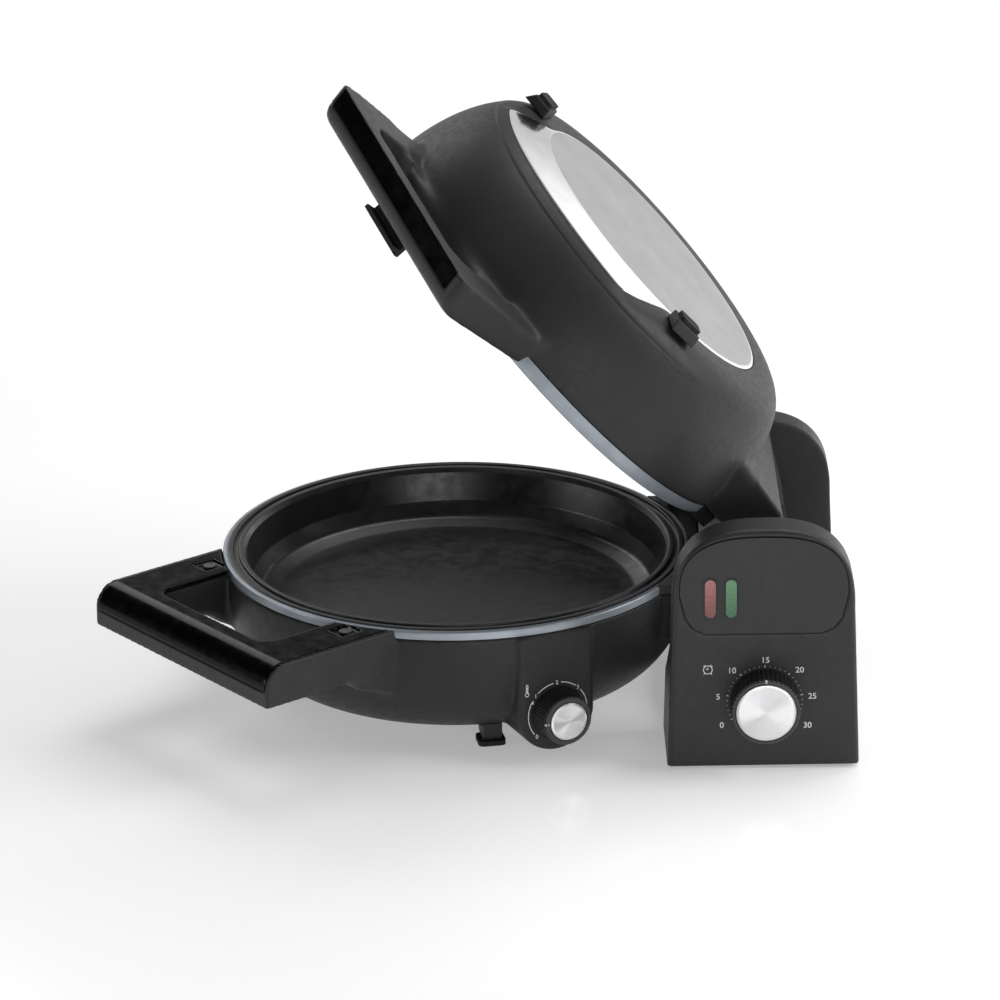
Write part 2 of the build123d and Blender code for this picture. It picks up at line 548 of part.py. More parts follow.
# low bridge between the posts
bridge = box(X_P - 46, X_P + 44, -POST_FOOT, REAR_FOOT, POST_BOT, -72.5)
bridge = fillet([e for e in bridge.edges().filter_by(Axis.Y) if e.center().Z > -75], 4)
bridge -= box(X_P - 43.4, X_P + 41.4, -POST_FOOT - 1, REAR_FOOT + 1, POST_BOT - 1, -75.1)
put("stand_bridge", bridge)
put("stand_bridge_cover", box(X_P - 43.3, X_P + 41.3, -POST_FOOT + 0.1, REAR_FOOT - 0.1, POST_BOT, POST_BOT + 2.2))

feet = []
for sx in (-1, 1):
    for y in (FRONT + 14, REAR_OUT - 13):
        feet.append(zcyl(X_P + sx * 43, y, 7.0, -H_PART, POST_BOT))
put("stand_feet", Compound(feet))

# hub on the front post and bushes of the axle in the two posts
put("front_hinge_hub", ycyl(X_H, Z_H, 14.0, -POST_IN, -80.4) + ycyl(X_H, Z_H, 15.0, -POST_IN, -118.0) - ycyl(X_H, Z_H, 10.0, -POST_IN - 1, -80))
bush = []
for y0, y1 in ((-139.6, -80.2), (REAR_IN - 0.2, REAR_IN + 13)):
    bush.append(ycyl(X_H, Z_H, 10.0, y0, y1) - ycyl(X_H, Z_H, AXLE_R + FIT, y0 - 1, y1 + 1))
put("hinge_bushes", Compound(bush))

# lamps
bez = []
for name, x in LAMPS:
    b = capsule(x, LAMP_Z, 8.4, 25.4, FRONT - 0.7, FRONT + 5) - capsule(x, LAMP_Z, 6.2, 23.2, FRONT - 2, FRONT + 3.8)
    b -= capsule(x, LAMP_Z, 5.2, 22.0, FRONT - 2, FRONT + 6)
    bez.append(b)
    put(name + "_lens", capsule(x, LAMP_Z, 6.2, 23.2, FRONT - 0.9, FRONT + 3.8))
put("lamp_bezels", Compound(bez))
put("neon_lamps", Compound([Pos(x, FRONT + 7.6, LAMP_Z) * Cylinder(2.3, 16) for _, x in LAMPS]))
put("lamp_holder", box(X_P - 37.5, X_P - 12.5, FRONT + 10.0, FRONT + 12.4, LAMP_Z - 14, LAMP_Z + 14))

# timer
tm = ycyl(TIMER_X, TIMER_Z, 21, FRONT + 5.0, FRONT + 19.0) + ycyl(TIMER_X, TIMER_Z, 5.0, FRONT - 0.0, FRONT + 5.0)
tm += box(TIMER_X - 26, TIMER_X + 26, FRONT + 3.0, FRONT + 5.0, TIMER_Z - 12, TIMER_Z + 12)
tm -= ycyl(TIMER_X, TIMER_Z, 3.0 + FIT, FRONT - 2, FRONT + 16)
put("timer_unit", tm)
put("timer_bell", Pos(TIMER_X - 34, FRONT + 14, TIMER_Z - 22) * Rot(90, 0, 0) * (Cylinder(10, 5) - Pos(0, 0, 1) * Cylinder(8.6, 5)))
put("timer_shaft", ycyl(TIMER_X, TIMER_Z, 3.0, FRONT - 12, FRONT + 15))
kb = ycyl(TIMER_X, TIMER_Z, 20.0, FRONT - 14.4, FRONT - 0.7) + ycyl(TIMER_X, TIMER_Z, 19.4, FRONT - 17.2, FRONT - 14.4)
kb -= ycyl(TIMER_X, TIMER_Z, 3.0, FRONT - 12, FRONT + 5)
kb -= ycyl(TIMER_X, TIMER_Z, 16.9, FRONT - 20, FRONT - 16.0)
put("timer_knob", kb)
put("timer_knob_cap", ycyl(TIMER_X, TIMER_Z, 16.9, FRONT - 18.2, FRONT - 16.0))

# wiring parts in the rear post
put("terminal_block", box(X_P - 24, X_P + 6, REAR_OUT - 17, REAR_OUT - 8, -78, -64) + box(X_P - 24, X_P + 6, REAR_OUT - 16, REAR_OUT - 12, POST_BOT + 2.5, -78))
g = ycyl(X_P + 28, -66, 6.0, REAR_OUT - 3.0, REAR_OUT) + ycyl(X_P + 28, -66, 8.5, REAR_OUT, REAR_OUT + 3.0) + ycyl(X_P + 28, -66, 8.5, REAR_OUT - 6.0, REAR_OUT - 3.0)
g -= ycyl(X_P + 28, -66, 3.6, REAR_OUT - 8, REAR_OUT + 5)
put("cord_inlet_bush", g)

# identical screws that hold the bottom plates and the bridge cover
scs = []
SCREW_Y = (FRONT + 30, -10.0, REAR_OUT - 16)
for sx in (-1, 1):
    for y in SCREW_Y:
        t = 2.2 if y == -10.0 else 2.5
        scs.append(zcyl(X_P + sx * 26, y, 3.2, POST_BOT - 0.8, POST_BOT) + zcyl(X_P + sx * 26, y, 1.5, POST_BOT, POST_BOT + t))
put("bottom_screws", Compound(scs))
holes = [zcyl(X_P + sx * 26, y, 1.5, POST_BOT - 1, POST_BOT + 4) for sx in (-1, 1) for y in SCREW_Y]
for nm in ("front_post_bottom", "rear_post_bottom", "stand_bridge_cover"):
    for h in holes:
        PARTS[nm] = PARTS[nm] - h

# ================================================================= final frame
MOVE = Pos(SHIFT_X, SHIFT_Y, H_PART)
lo, hi = [1e9] * 3, [-1e9] * 3
for name in sorted(PARTS):
    s = MOVE * PARTS[name]
    solids = list(s.solids())
    s = solids[0] if len(solids) == 1 else Compound(solids)
    s.label = name
    export_step(s, f"parts/{name}.step")
    b = s.bounding_box()
    lo = [min(a, c) for a, c in zip(lo, (b.min.X, b.min.Y, b.min.Z))]
    hi = [max(a, c) for a, c in zip(hi, (b.max.X, b.max.Y, b.max.Z))]
print("box", [round(v, 3) for v in lo], [round(v, 3) for v in hi], "middle", round((lo[0] + hi[0]) / 2, 3), round((lo[1] + hi[1]) / 2, 3))
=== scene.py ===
import bpy, bmesh
import numpy as np
from math import sin, cos, pi, radians, sqrt, atan2, hypot
from mathutils import Vector, Matrix


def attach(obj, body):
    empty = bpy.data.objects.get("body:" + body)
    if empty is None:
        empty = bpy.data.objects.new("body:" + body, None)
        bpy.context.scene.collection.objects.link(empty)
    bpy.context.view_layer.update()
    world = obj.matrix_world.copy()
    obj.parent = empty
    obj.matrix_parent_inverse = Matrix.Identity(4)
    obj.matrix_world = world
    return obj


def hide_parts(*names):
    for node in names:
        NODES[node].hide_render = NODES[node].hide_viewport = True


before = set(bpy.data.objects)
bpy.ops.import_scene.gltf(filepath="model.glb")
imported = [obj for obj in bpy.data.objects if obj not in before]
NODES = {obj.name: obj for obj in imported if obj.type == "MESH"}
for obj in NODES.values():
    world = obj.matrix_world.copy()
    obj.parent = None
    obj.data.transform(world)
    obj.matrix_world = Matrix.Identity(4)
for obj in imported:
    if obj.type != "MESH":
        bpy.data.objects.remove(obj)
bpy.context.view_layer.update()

# ------------------------------------------------------------------ shared dimensions (mm, working frame of the model)
SHIFT = (-9.257, 25.697, 84.5)
X_H, Z_H, OPEN = 175.0, 0.5, 48.5
PHI = 217.8
R_SHELL, Z_RING, LID_RING = 139.4, 6.0, 9.4
BOWL_FLAT, BOWL_DEPTH, BOWL_N = 75.0, 77.0, 2.6
LID_FLAT, LID_DEPTH, LID_N = 110.6, 73.9, 1.71
DISC_R, DISC_FLAT = 109.0, 89.0
R_MOUTH, R_RIM, R_FL, PAN_T = 125.0, 135.5, 138.0, 2.8
BOWL_PAN_D, LID_PAN_D = 32.0, 24.0
BLOCK_W = 74.0
GRIP_OUT, GRIP_IN, GRIP_W, HOLE_W, GRIP_D, LID_GRIP_D = 203.0, 181.0, 84.0, 52.0, 25.3, 25.0
X_P, POST_OUT, POST_TOP, POST_BOT, POST_HW, POST_HW_BOT = 175.0, 148.0, 62.5, -83.0, 52.4, 55.4
REAR_OUT, REAR_TOP = 101.0, 45.0
THERM_A, THERM_Z, THERM_R = -66.0, -56.0, 140.3
TIMER_X, TIMER_Z = 175.6, -42.6
FRONT = -POST_OUT
LAMP_Z = 21.4
LAMPS = (("red", X_P - 30.8), ("green", X_P - 18.8))


def M(x, y, z):
    """Working frame in mm to the row frame in metres."""
    return Vector(((x + SHIFT[0]) / 1000, (y + SHIFT[1]) / 1000, (z + SHIFT[2]) / 1000))


TO_ROW = Matrix.Translation(Vector(SHIFT) / 1000) @ Matrix.Scale(0.001, 4)
HANDLE = Matrix.Rotation(radians(PHI), 4, "Z")
OPEN_LID = Matrix.Translation((X_H, 0, Z_H)) @ Matrix.Rotation(radians(OPEN), 4, "Y") @ Matrix.Translation((-X_H, 0, -Z_H))
THERM = Matrix.Rotation(radians(THERM_A), 4, "Z")


# ------------------------------------------------------------------ materials
class Mat:
    def __init__(self, name):
        self.m = bpy.data.materials.new(name)
        self.m.use_nodes = True
        self.nt = self.m.node_tree
        self.nt.nodes.clear()
        self.out = self.nt.nodes.new("ShaderNodeOutputMaterial")
        self.b = self.nt.nodes.new("ShaderNodeBsdfPrincipled")
        self.link(self.b.outputs[0], self.out.inputs["Surface"])
        self.tc = None

    def new(self, kind, **kw):
        n = self.nt.nodes.new(kind)
        for k, v in kw.items():
            setattr(n, k, v)
        return n

    def link(self, a, b):
        self.nt.links.new(a, b)

    def set(self, **kw):
        for k, v in kw.items():
            s = self.b.inputs[k.replace("_", " ")]
            s.default_value = (*v, 1.0) if isinstance(v, tuple) and len(v) == 3 else v
        return self

    def coords(self):
        if self.tc is None:
            self.tc = self.new("ShaderNodeTexCoord").outputs["Object"]
        return self.tc

    def noise(self, scale, detail=3.0, rough=0.55, vec=None, stretch=None):
        n = self.new("ShaderNodeTexNoise")
        n.inputs["Scale"].default_value = scale
        n.inputs["Detail"].default_value = detail
        n.inputs["Roughness"].default_value = rough
        v = vec or self.coords()
        if stretch:
            mp = self.new("ShaderNodeMapping")
            mp.inputs["Scale"].default_value = stretch
            self.link(v, mp.inputs["Vector"])
            v = mp.outputs["Vector"]
        self.link(v, n.inputs["Vector"])
        return n.outputs["Fac"]

    def ramp(self, fac, lo, hi, a=0.35, b=0.65):
        r = self.new("ShaderNodeMapRange")
        r.inputs["From Min"].default_value = a
        r.inputs["From Max"].default_value = b
        r.inputs["To Min"].default_value = lo
        r.inputs["To Max"].default_value = hi
        self.link(fac, r.inputs["Value"])
        return r.outputs["Result"]

    def colour(self, fac, c0, c1, a=0.35, b=0.65):
        r = self.new("ShaderNodeValToRGB")
        r.color_ramp.elements[0].position = a
        r.color_ramp.elements[1].position = b
        r.color_ramp.elements[0].color = (*c0, 1)
        r.color_ramp.elements[1].color = (*c1, 1)
        self.link(fac, r.inputs["Fac"])
        return r.outputs["Color"]

    def bump(self, fac, distance, strength=1.0, normal=None):
        n = self.new("ShaderNodeBump")
        n.inputs["Distance"].default_value = distance
        n.inputs["Strength"].default_value = strength
        self.link(fac, n.inputs["Height"])
        if normal is not None:
            self.link(normal, n.inputs["Normal"])
        return n.outputs["Normal"]


def grain_plastic(name, c0, c1, r0, r1, grain=0.00004, scale=1500.0, spec=0.5, coat=0.0):
    m = Mat(name)
    broad = m.noise(22.0, 4.0)
    m.link(m.colour(broad, c0, c1), m.b.inputs["Base Color"])
    fine = m.noise(scale, 2.0, 0.6)
    m.link(m.ramp(m.noise(260.0, 3.0), r0, r1), m.b.inputs["Roughness"])
    m.link(m.bump(fine, grain, 0.6), m.b.inputs["Normal"])
    m.b.inputs["Specular IOR Level"].default_value = spec
    m.b.inputs["Coat Weight"].default_value = coat
    m.b.inputs["Coat Roughness"].default_value = 0.25
    return m.m


def gloss_plastic(name, c, rough=0.07, coat=0.6, spec=0.5):
    m = Mat(name)
    m.link(m.colour(m.noise(35.0, 4.0), tuple(v * 0.9 for v in c), tuple(v * 1.25 + 0.0005 for v in c)), m.b.inputs["Base Color"])
    dust = m.noise(900.0, 2.0, 0.5)
    m.link(m.ramp(m.noise(120.0, 4.0), rough * 0.8, rough * 1.5), m.b.inputs["Roughness"])
    m.link(m.bump(dust, 0.000004, 0.4), m.b.inputs["Normal"])
    m.b.inputs["Specular IOR Level"].default_value = spec
    m.b.inputs["Coat Weight"].default_value = coat
    m.b.inputs["Coat Roughness"].default_value = 0.03
    return m.m


def metal(name, c0, c1, r0, r1, stretch=None, scale=400.0, bump=0.00001, aniso=0.0, metallic=1.0):
    m = Mat(name)
    m.b.inputs["Metallic"].default_value = metallic
    lines = m.noise(scale, 3.0, 0.6, stretch=stretch)
    m.link(m.colour(m.noise(30.0, 3.0), c0, c1), m.b.inputs["Base Color"])
    m.link(m.ramp(lines, r0, r1), m.b.inputs["Roughness"])
    m.link(m.bump(lines, bump, 0.5), m.b.inputs["Normal"])
    m.b.inputs["Anisotropic"].default_value = aniso
    return m.m


def radial_metal(name, c0, c1, r0, r1, aniso, turned=0.00002):
    """Metal turned on a lathe: fine rings about the piece's own Z axis."""
    m = Mat(name)
    m.b.inputs["Metallic"].default_value = 1.0
    sep = m.new("ShaderNodeSeparateXYZ")
    m.link(m.coords(), sep.inputs[0])
    comb = m.new("ShaderNodeCombineXYZ")
    m.link(sep.outputs[0], comb.inputs[0]); m.link(sep.outputs[1], comb.inputs[1])
    ln = m.new("ShaderNodeVectorMath", operation="LENGTH")
    m.link(comb.outputs[0], ln.inputs[0])
    r = m.new("ShaderNodeTexNoise", noise_dimensions="1D")
    r.inputs["Scale"].default_value = 9000.0
    r.inputs["Detail"].default_value = 2.0
    m.link(ln.outputs["Value"], r.inputs["W"])
    m.link(m.colour(m.noise(60.0, 3.0), c0, c1), m.b.inputs["Base Color"])
    m.link(m.ramp(r.outputs["Fac"], r0, r1), m.b.inputs["Roughness"])
    m.link(m.bump(r.outputs["Fac"], turned, 0.5), m.b.inputs["Normal"])
    m.b.inputs["Anisotropic"].default_value = aniso
    tan = m.new("ShaderNodeTangent", direction_type="RADIAL", axis="Z")
    m.link(tan.outputs[0], m.b.inputs["Tangent"])
    return m.m


def coat_metal(name):
    """Dark non-stick coat: very fine speckle over cast metal."""
    m = Mat(name)
    sp = m.noise(2600.0, 2.0, 0.7)
    m.link(m.colour(sp, (0.006, 0.006, 0.0068), (0.022, 0.022, 0.025), 0.4, 0.72), m.b.inputs["Base Color"])
    m.link(m.ramp(m.noise(140.0, 4.0), 0.30, 0.42), m.b.inputs["Roughness"])
    m.link(m.bump(sp, 0.00003, 0.5), m.b.inputs["Normal"])
    m.b.inputs["Specular IOR Level"].default_value = 0.6
    return m.m


def ring_metal(name):
    """Bare cast edge of the pans: bluish grey, satin, with faint turning lines."""
    m = Mat(name)
    m.b.inputs["Metallic"].default_value = 0.55
    m.link(m.colour(m.noise(45.0, 4.0), (0.30, 0.335, 0.375), (0.38, 0.42, 0.46)), m.b.inputs["Base Color"])
    ln = m.noise(30.0, 2.0, 0.6, stretch=(1, 1, 90))
    m.link(m.ramp(ln, 0.36, 0.5), m.b.inputs["Roughness"])
    m.link(m.bump(ln, 0.00002, 0.4), m.b.inputs["Normal"])
    return m.m


def lens(name, c, glow):
    m = Mat(name)
    # painted shade and highlight: the lens colour runs from dark at the bottom to light at the top
    lens_painted_shade_z = m.new("ShaderNodeSeparateXYZ")
    m.link(m.new("ShaderNodeTexCoord").outputs["Generated"], lens_painted_shade_z.inputs[0])
    m.link(m.colour(lens_painted_shade_z.outputs[2], tuple(v * 0.45 for v in c), tuple(v * 0.9 + 0.06 for v in c), 0.1, 0.95), m.b.inputs["Base Color"])
    w = m.new("ShaderNodeTexWave", wave_type="BANDS", bands_direction="Z")
    w.inputs["Scale"].default_value = 260.0
    m.link(m.coords(), w.inputs["Vector"])
    m.link(m.bump(w.outputs["Fac"], 0.00012, 0.6), m.b.inputs["Normal"])
    m.b.inputs["Roughness"].default_value = 0.14
    m.b.inputs["Transmission Weight"].default_value = 0.15
    m.b.inputs["Coat Weight"].default_value = 0.5
    m.b.inputs["Emission Color"].default_value = (*glow, 1)
    m.b.inputs["Emission Strength"].default_value = 0.03
    return m.m


def print_ink(name, c):
    m = Mat(name)
    m.link(m.colour(m.noise(1800.0, 2.0), tuple(v * 0.85 for v in c), c), m.b.inputs["Base Color"])
    m.link(m.ramp(m.noise(700.0, 2.0), 0.45, 0.6), m.b.inputs["Roughness"])
    return m.m


GREY = grain_plastic("grey_moulding", (0.018, 0.018, 0.0185), (0.023, 0.023, 0.0235), 0.46, 0.56, spec=0.36)
POSTM = grain_plastic("post_moulding", (0.018, 0.018, 0.0185), (0.0235, 0.0235, 0.024), 0.42, 0.52, spec=0.42)
BLACK = grain_plastic("black_moulding", (0.010, 0.010, 0.0105), (0.016, 0.016, 0.0165), 0.5, 0.62)
KNOBM = grain_plastic("knob_moulding", (0.008, 0.008, 0.0085), (0.014, 0.014, 0.0145), 0.34, 0.46, grain=0.00002)
GLOSS = gloss_plastic("gloss_black", (0.0018, 0.0018, 0.0019), 0.15, 0.0, 0.13)
PANEL = grain_plastic("panel_satin", (0.0185, 0.0185, 0.019), (0.0225, 0.0225, 0.023), 0.36, 0.46, grain=0.00002, spec=0.4)
COAT = coat_metal("nonstick_coat")
RING = ring_metal("cast_ring")
BAND = radial_metal("disc_band", (0.80, 0.80, 0.81), (0.88, 0.88, 0.89), 0.10, 0.16, 0.0, 0.000002)
DISC = metal("disc_satin", (0.42, 0.42, 0.43), (0.48, 0.48, 0.49), 0.36, 0.46, stretch=(1, 1, 1), scale=1300.0, bump=0.000015)
CAPM = radial_metal("cap_turned", (0.70, 0.70, 0.71), (0.80, 0.80, 0.81), 0.26, 0.4, 0.96)
RIMM = grain_plastic("knob_rim", (0.034, 0.034, 0.035), (0.045, 0.045, 0.046), 0.38, 0.5, grain=0.00001)
STEEL = metal("plain_steel", (0.42, 0.42, 0.43), (0.55, 0.55, 0.56), 0.24, 0.38, stretch=(1, 40, 1))
DARKSTEEL = metal("dark_steel", (0.10, 0.10, 0.105), (0.15, 0.15, 0.155), 0.35, 0.5, stretch=(30, 1, 30))
ALU = metal("sheet_aluminium", (0.6, 0.6, 0.61), (0.7, 0.7, 0.71), 0.3, 0.45, stretch=(40, 1, 1))
CERAM = grain_plastic("fuse_body", (0.5, 0.48, 0.43), (0.6, 0.58, 0.52), 0.4, 0.5)
COPPER = metal("copper", (0.5, 0.26, 0.14), (0.62, 0.33, 0.2), 0.25, 0.4)
BRASS = metal("bush_metal", (0.45, 0.35, 0.18), (0.55, 0.43, 0.22), 0.35, 0.5)
RUBBER = grain_plastic("rubber", (0.007, 0.007, 0.007), (0.012, 0.012, 0.012), 0.75, 0.9, grain=0.00006, scale=900.0)
RED = lens("red_lens", (0.42, 0.10, 0.10), (0.9, 0.2, 0.2))
GREEN = lens("green_lens", (0.06, 0.26, 0.10), (0.1, 0.8, 0.25))
NEON = gloss_plastic("neon_glass", (0.5, 0.48, 0.45), 0.1)
WHITE = print_ink("white_print", (0.86, 0.86, 0.86))
SEAM = grain_plastic("seam_shadow", (0.006, 0.006, 0.006), (0.009, 0.009, 0.009), 0.6, 0.7)

CAD_MATS = {
    "bowl_shell": GREY, "lid_shell": GREY, "bowl_feet": GREY, "lid_feet": GREY, "front_post": POSTM, "rear_post": POSTM,
    "stand_bridge": POSTM, "front_hinge_hub": POSTM, "bowl_handle_cover": GLOSS, "lid_handle_strip": GLOSS,
    "front_post_panel": PANEL, "rear_post_panel": PANEL, "front_post_bottom": BLACK, "rear_post_bottom": BLACK,
    "stand_bridge_cover": BLACK, "terminal_block": BLACK, "lamp_holder": BLACK, "lamp_bezels": BLACK, "latch_hook": BLACK,
    "bowl_pan": COAT, "lid_pan": COAT, "lid_disc": DISC, "timer_knob": KNOBM, "thermostat_knob": KNOBM,
    "timer_knob_cap": CAPM, "thermostat_knob_cap": CAPM, "hinge_axle": STEEL, "axle_collars": STEEL, "latch_pin": STEEL,
    "timer_shaft": STEEL, "thermostat_shaft": STEEL, "bowl_handle_screws": DARKSTEEL, "bottom_screws": DARKSTEEL,
    "bowl_hinge_bracket": DARKSTEEL, "lid_hinge_bracket": DARKSTEEL, "timer_bell": STEEL, "bowl_heating_element": STEEL,
    "lid_heating_element": STEEL, "timer_unit": BLACK, "bowl_shield_posts": STEEL, "lid_shield_posts": STEEL,
    "bowl_heat_shield": ALU, "lid_heat_shield": ALU, "bowl_thermal_fuse": CERAM, "lid_thermal_fuse": CERAM,
    "thermostat_unit": CERAM, "thermostat_bulb": COPPER, "hinge_bushes": BRASS, "bowl_foot_pads": RUBBER,
    "lid_foot_pads": RUBBER, "stand_feet": RUBBER, "cord_inlet_bush": RUBBER, "red_lens": RED, "green_lens": GREEN,
    "neon_lamps": NEON,
}
for n, o in NODES.items():
    m = CAD_MATS[n]
    if not o.data.materials:
        o.data.materials.append(m)
    for i in range(len(o.material_slots)):
        o.material_slots[i].link = "DATA"
        o.material_slots[i].material = m


# ------------------------------------------------------------------ mesh helpers
def add(name, verts, faces, mats, matrix=None, smooth=40.0, index=None):
    me = bpy.data.meshes.new(name)
    me.from_pydata([tuple(v) for v in verts], [], faces)
    me.validate()
    o = bpy.data.objects.new(name, me)
    bpy.context.scene.collection.objects.link(o)
    if matrix is not None:
        me.transform(matrix)
    for m in (mats if isinstance(mats, (list, tuple)) else [mats]):
        me.materials.append(m)
    if index is not None:
        me.polygons.foreach_set("material_index", index)
    me.polygons.foreach_set("use_smooth", [True] * len(me.polygons))
    if smooth:
        me.set_sharp_from_angle(angle=radians(smooth))
    me.update()
    return o


def recentre(o, c):
    """Moves the object's own origin to c without moving its shape."""
    c = Vector(c)
    o.data.transform(Matrix.Translation(-c))
    o.location = c
    return o


def rounded_profile(pts, radii, seg=4):
    """2-D points with a fillet radius at each; returns a finer list."""
    out = []
    n = len(pts)
    for i, p in enumerate(pts):
        r = radii[i] if isinstance(radii, (list, tuple)) else radii
        if i in (0, n - 1) or r <= 0:
            out.append(tuple(p))
            continue
        a, b, c = Vector(pts[i - 1]), Vector(p), Vector(pts[i + 1])
        u, v = (a - b), (c - b)
        la, lc = u.length, v.length
        if la < 1e-9 or lc < 1e-9:
            out.append(tuple(p)); continue
        u.normalize(); v.normalize()
        ang = u.angle(v)
        if ang > pi - 0.05:
            out.append(tuple(p)); continue
        d = min(r / max(np.tan(ang / 2), 1e-6), la * 0.48, lc * 0.48)
        s, e = b + u * d, b + v * d
        for k in range(seg + 1):
            t = k / seg
            q = s * (1 - t) ** 2 + b * 2 * t * (1 - t) + e * t ** 2
            out.append((q.x, q.y))
    return out


def lathe(name, prof, mats, matrix=None, seg=192, index=None, smooth=40.0, a0=0.0, a1=360.0):
    """Turns an (r, z) profile about Z. index(r, z) -> material index of the face that starts there."""
    verts, faces, idx = [], [], []
    full = abs(a1 - a0 - 360.0) < 1e-6
    cols = seg if full else seg + 1
    ring = []
    for r, z in prof:
        if r < 1e-6:
            ring.append([len(verts)] * cols)
            verts.append((0, 0, z))
        else:
            ids = []
            for k in range(cols):
                a = radians(a0 + (a1 - a0) * k / seg)
                ids.append(len(verts))
                verts.append((r * cos(a), r * sin(a), z))
            ring.append(ids)
    for i in range(len(prof) - 1):
        A, B = ring[i], ring[i + 1]
        for k in range(seg):
            k2 = (k + 1) % cols
            f = [A[k], A[k2], B[k2], B[k]]
            f = [v for j, v in enumerate(f) if v != f[j - 1]]
            if len(set(f)) >= 3:
                faces.append(f)
                idx.append(index(prof[i], prof[i + 1]) if index else 0)
    return add(name, verts, faces, mats, matrix, smooth, idx)


def fix_normals(o):
    bm = bmesh.new()
    bm.from_mesh(o.data)
    bmesh.ops.recalc_face_normals(bm, faces=bm.faces)
    bm.to_mesh(o.data)
    bm.free()
    return o


def apply_mods(o):
    dg = bpy.context.evaluated_depsgraph_get()
    dg.update()
    me = bpy.data.meshes.new_from_object(o.evaluated_get(dg))
    o.modifiers.clear()
    o.data = me
    return o


def soften(node, name, mat, voxel, its=4, factor=0.5, extra=None):
    """Copy of a CAD node, remeshed finely and relaxed, so that its moulded edges are round."""
    src = NODES[node]
    me = src.data.copy()
    o = bpy.data.objects.new(name, me)
    bpy.context.scene.collection.objects.link(o)
    w = o.modifiers.new("weld", "WELD"); w.merge_threshold = 1e-6
    r = o.modifiers.new("remesh", "REMESH"); r.mode = "VOXEL"; r.voxel_size = (voxel * 1.0) / 1000
    s = o.modifiers.new("smooth", "SMOOTH"); s.iterations = its; s.factor = factor
    apply_mods(o)
    if extra:
        extra(o)
    o.data.materials.clear()
    o.data.materials.append(mat)
    o.data.polygons.foreach_set("use_smooth", [True] * len(o.data.polygons))
    o.data.polygons.foreach_set("material_index", [0] * len(o.data.polygons))
    o.data.update()
    return o


def relax(o, weight, its):
    """Rounds the moulding further where weight(x, y, z) is above 0, in the working frame in mm."""
    me = o.data
    n = len(me.vertices)
    co = np.empty(n * 3); me.vertices.foreach_get("co", co); co = co.reshape(-1, 3)
    ed = np.empty(len(me.edges) * 2, dtype=np.int64); me.edges.foreach_get("vertices", ed); ed = ed.reshape(-1, 2)
    w = weight(co * 1000 - np.array(SHIFT))[:, None] * 0.5
    deg = np.bincount(ed.ravel(), minlength=n)[:, None]
    for _ in range(its):
        acc = np.zeros_like(co)
        for k in range(3):
            acc[:, k] = np.bincount(ed[:, 0], weights=co[ed[:, 1], k], minlength=n) + np.bincount(ed[:, 1], weights=co[ed[:, 0], k], minlength=n)
        co += w * (acc / np.maximum(deg, 1) - co)
    me.vertices.foreach_set("co", co.ravel())
    me.update()


def to_handle(q):
    a = radians(PHI)
    return q[:, 0] * cos(a) + q[:, 1] * sin(a), -q[:, 0] * sin(a) + q[:, 1] * cos(a)


def step(v, a, b):
    t = np.clip((v - a) / (b - a), 0, 1)
    return t * t * (3 - 2 * t)


def lid_weight(q):
    t = radians(OPEN)
    dx, dz = q[:, 0] - X_H, q[:, 2] - Z_H
    x, z = X_H + dx * cos(t) - dz * sin(t), Z_H + dx * sin(t) + dz * cos(t)
    p = np.stack([x, q[:, 1], z], 1)
    u, s = to_handle(p)
    rho = np.hypot(x, q[:, 1])
    w = step(z, 11.5, 15.0) * step(rho, 112.0, 116.0) * (1 - step(rho, 158.0, 170.0))
    w = w * np.where(u > 60, 1.0, 0.0)
    foot = step(z, 66.0, 68.5) * step(rho, 99, 101) * 0.0
    hinge = np.where((x > 60) & (x < 128) & (np.abs(q[:, 1]) < 90) & (z > 14) & (rho > 112), 1.0, 0.0) * (1 - step(z, 42.0, 52.0)) * 0.6
    return np.clip(w + foot + hinge, 0, 1)


def bowl_weight(q):
    u, s = to_handle(q)
    rho = np.hypot(q[:, 0], q[:, 1])
    w = (1 - step(q[:, 2], -26.0, -16.0)) * (1 - step(rho, 160.0, 172.0)) * step(rho, 100.0, 112.0)
    return np.where(u > 70, w, 0.0)


# top of the lid in its shut place: round steel flat, sloping steel band that is wide on the handle's side, and the
# moulded dome that rises to the flat on the hinge's side
FLAT_R, FLAT_Z, RIM_R = 88.5, 77.1, 122.0


def dome_z(r):
    u = np.clip((r - LID_FLAT) / (R_SHELL - LID_FLAT), 0, 1)
    return 9.7 + (LID_DEPTH - 9.7) * (1 - u ** LID_N) ** (1 / LID_N)


def band_edge(th):
    """Radius and height of the outer edge of the steel band at the polar angle th."""
    d = (np.degrees(th) - 20.0 + 180.0) % 360.0 - 180.0
    w = np.where(d > 0, 1 - step(d, 137.0, 156.0), 1 - step(-d, 103.0, 126.0))
    r = 117.0 - 26.5 * w
    return r, FLAT_Z - (r - FLAT_R) * 0.212, w


def top_height(x, y):
    r, th = np.hypot(x, y), np.arctan2(y, x)
    rb, zb, w = band_edge(th)
    t = np.clip((r - rb) / (RIM_R - rb), 0, 1)
    m0, m1, L = -0.75 + 0.7 * w, -1.22, RIM_R - rb
    z1 = dome_z(RIM_R) + 0.2
    ring = (2 * t ** 3 - 3 * t ** 2 + 1) * zb + (t ** 3 - 2 * t ** 2 + t) * L * m0 + (3 * t ** 2 - 2 * t ** 3) * z1 + (t ** 3 - t ** 2) * L * m1
    band = FLAT_Z - np.clip(r - FLAT_R, 0, 99) * 0.212
    return np.where(r > rb, ring, band)


